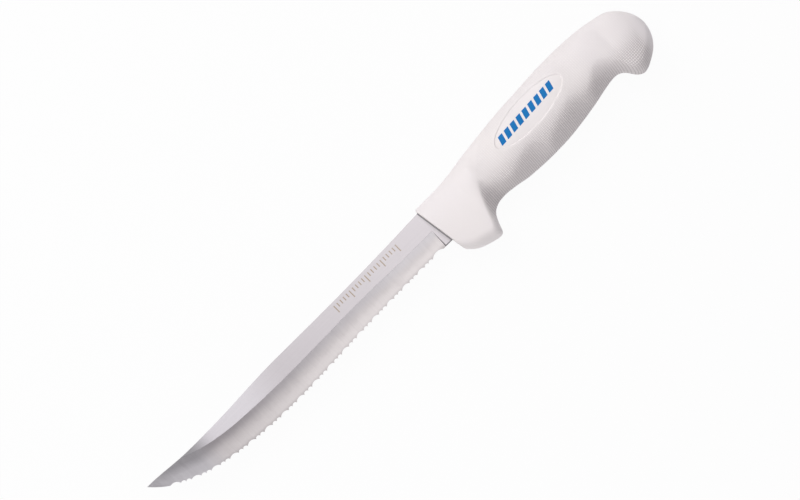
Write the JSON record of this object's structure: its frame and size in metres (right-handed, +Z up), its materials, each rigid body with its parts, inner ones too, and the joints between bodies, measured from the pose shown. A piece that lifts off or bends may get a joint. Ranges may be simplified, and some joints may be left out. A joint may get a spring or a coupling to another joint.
{
  "type": "scalloped fillet knife",
  "caption": "Narrow hollow-ground fillet knife with an upswept tip, a scalloped cutting edge and a white moulded handle with a soft textured grip, a flared guard and a hooked butt.",
  "frame": {"origin": "under the middle of the knife's bounding box, on the surface that the knife lies on", "axes": "the knife lies on its side: +X from the tip to the butt, +Y from the cutting edge to the spine, +Z up through the thickness"},
  "size_m": [0.3142, 0.0434, 0.0235],
  "materials": {
    "blade_steel": "stainless steel, ground and brushed along the flats and across the hollow grind",
    "core_plastic": "white polypropylene, moulded round the tang",
    "soft_grip": "white thermoplastic rubber with a fine moulded grid, smooth on the guard and in the oval panels"
  },
  "bodies": {
    "root": {"blade": "blade_steel", "handle_core": "core_plastic", "soft_grip": "soft_grip"}
  },
  "joints": []
}
